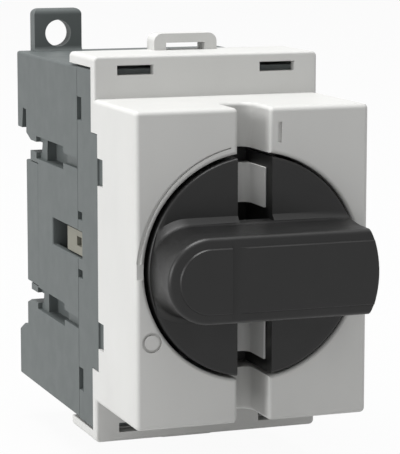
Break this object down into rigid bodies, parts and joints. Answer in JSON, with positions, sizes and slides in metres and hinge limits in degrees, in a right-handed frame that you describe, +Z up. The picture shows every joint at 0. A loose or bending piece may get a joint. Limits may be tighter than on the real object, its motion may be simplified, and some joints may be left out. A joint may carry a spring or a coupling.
{
  "type": "rail-mounted rotary switch disconnector",
  "caption": "Two-module switch disconnector for a 35 mm rail: grey housing, raised front cover, black quarter-turn handle with a padlock passage, box terminals top and bottom.",
  "frame": {"origin": "middle of the face that meets the rail, halfway between the rail's two edges", "axes": "+Y to the rear, out of the face that meets the rail; +Z up, with the line terminals on top; +X to the right seen from the front"},
  "size_m": [0.035, 0.0715, 0.0672],
  "materials": {
    "cover_plastic": "fine satin light grey moulding",
    "housing_plastic": "fine matt dark grey moulding",
    "handle_plastic": "satin black moulding",
    "liner_plastic": "satin light grey moulding",
    "carriage_plastic": "matt beige moulding",
    "latch_plastic": "matt black moulding",
    "copper": "bright rolled copper with silver-grey tips",
    "steel": "zinc-plated steel",
    "spring_steel": "drawn spring steel"
  },
  "bodies": {
    "housing": {"front_cover": "cover_plastic", "front_housing": "housing_plastic", "rear_housing": "housing_plastic", "base_cap": "housing_plastic", "latch_spring": "spring_steel", "line_contact_left": "copper", "load_contact_left": "copper", "line_contact_centre": "copper", "load_contact_centre": "copper", "line_contact_right": "copper", "load_contact_right": "copper"},
    "rotor": {"handle": "handle_plastic", "padlock_liner_upper": "liner_plastic", "padlock_liner_lower": "liner_plastic", "drive_shaft": "steel", "spring_driver": "steel", "snap_spring": "spring_steel", "cam_drum": "latch_plastic", "shaft_circlip": "spring_steel"},
    "carriage": {"contact_carriage": "carriage_plastic", "bridge_left": "copper", "bridge_centre": "copper", "bridge_right": "copper", "bridge_spring_left": "spring_steel", "bridge_spring_centre": "spring_steel", "bridge_spring_right": "spring_steel"},
    "latch": {"rail_latch": "latch_plastic"},
    "line_clamp_left": {"line_clamp_left": "steel"},
    "line_screw_left": {"line_screw_left": "steel"},
    "line_clamp_centre": {"line_clamp_centre": "steel"},
    "line_screw_centre": {"line_screw_centre": "steel"},
    "line_clamp_right": {"line_clamp_right": "steel"},
    "line_screw_right": {"line_screw_right": "steel"},
    "load_clamp_left": {"load_clamp_left": "steel"},
    "load_screw_left": {"load_screw_left": "steel"},
    "load_clamp_centre": {"load_clamp_centre": "steel"},
    "load_screw_centre": {"load_screw_centre": "steel"},
    "load_clamp_right": {"load_clamp_right": "steel"},
    "load_screw_right": {"load_screw_right": "steel"}
  },
  "joints": [
    {"name": "handle_turn", "type": "hinge", "parent": "housing", "child": "rotor", "pos_m": [0, -0.0564, 0], "axis": [0, 1, 0], "range_deg": [0, 90]},
    {"name": "carriage_slide", "type": "slide", "parent": "housing", "child": "carriage", "axis": [0, 1, 0], "range_m": [0, 0.0065]},
    {"name": "latch_slide", "type": "slide", "parent": "housing", "child": "latch", "axis": [0, 0, -1], "range_m": [0, 0.0032], "stiffness_N_per_m": 300, "springref_m": -0.003, "deforming": ["latch_spring"]},
    {"name": "line_screw_left_turn", "type": "hinge", "parent": "housing", "child": "line_screw_left", "pos_m": [-0.0103, -0.033, 0.0218], "axis": [0, 1, 0], "range_deg": [0, 1800]},
    {"name": "line_clamp_left_slide", "type": "slide", "parent": "housing", "child": "line_clamp_left", "axis": [0, -1, 0], "range_m": [0, 0.0035]},
    {"name": "line_screw_centre_turn", "type": "hinge", "parent": "housing", "child": "line_screw_centre", "pos_m": [0, -0.033, 0.0218], "axis": [0, 1, 0], "range_deg": [0, 1800]},
    {"name": "line_clamp_centre_slide", "type": "slide", "parent": "housing", "child": "line_clamp_centre", "axis": [0, -1, 0], "range_m": [0, 0.0035]},
    {"name": "line_screw_right_turn", "type": "hinge", "parent": "housing", "child": "line_screw_right", "pos_m": [0.0103, -0.033, 0.0218], "axis": [0, 1, 0], "range_deg": [0, 1800]},
    {"name": "line_clamp_right_slide", "type": "slide", "parent": "housing", "child": "line_clamp_right", "axis": [0, -1, 0], "range_m": [0, 0.0035]},
    {"name": "load_screw_left_turn", "type": "hinge", "parent": "housing", "child": "load_screw_left", "pos_m": [-0.0103, -0.033, -0.0218], "axis": [0, 1, 0], "range_deg": [0, 1800]},
    {"name": "load_clamp_left_slide", "type": "slide", "parent": "housing", "child": "load_clamp_left", "axis": [0, -1, 0], "range_m": [0, 0.0035]},
    {"name": "load_screw_centre_turn", "type": "hinge", "parent": "housing", "child": "load_screw_centre", "pos_m": [0, -0.033, -0.0218], "axis": [0, 1, 0], "range_deg": [0, 1800]},
    {"name": "load_clamp_centre_slide", "type": "slide", "parent": "housing", "child": "load_clamp_centre", "axis": [0, -1, 0], "range_m": [0, 0.0035]},
    {"name": "load_screw_right_turn", "type": "hinge", "parent": "housing", "child": "load_screw_right", "pos_m": [0.0103, -0.033, -0.0218], "axis": [0, 1, 0], "range_deg": [0, 1800]},
    {"name": "load_clamp_right_slide", "type": "slide", "parent": "housing", "child": "load_clamp_right", "axis": [0, -1, 0], "range_m": [0, 0.0035]}
  ],
  "couplings": [
    {"joint": "carriage_slide", "follows": "handle_turn", "m_per_rad": 0.004138},
    {"joint": "line_screw_left_turn", "follows": "line_clamp_left_slide", "rad_per_m": 8975.9},
    {"joint": "line_screw_centre_turn", "follows": "line_clamp_centre_slide", "rad_per_m": 8975.9},
    {"joint": "line_screw_right_turn", "follows": "line_clamp_right_slide", "rad_per_m": 8975.9},
    {"joint": "load_screw_left_turn", "follows": "load_clamp_left_slide", "rad_per_m": 8975.9},
    {"joint": "load_screw_centre_turn", "follows": "load_clamp_centre_slide", "rad_per_m": 8975.9},
    {"joint": "load_screw_right_turn", "follows": "load_clamp_right_slide", "rad_per_m": 8975.9}
  ]
}
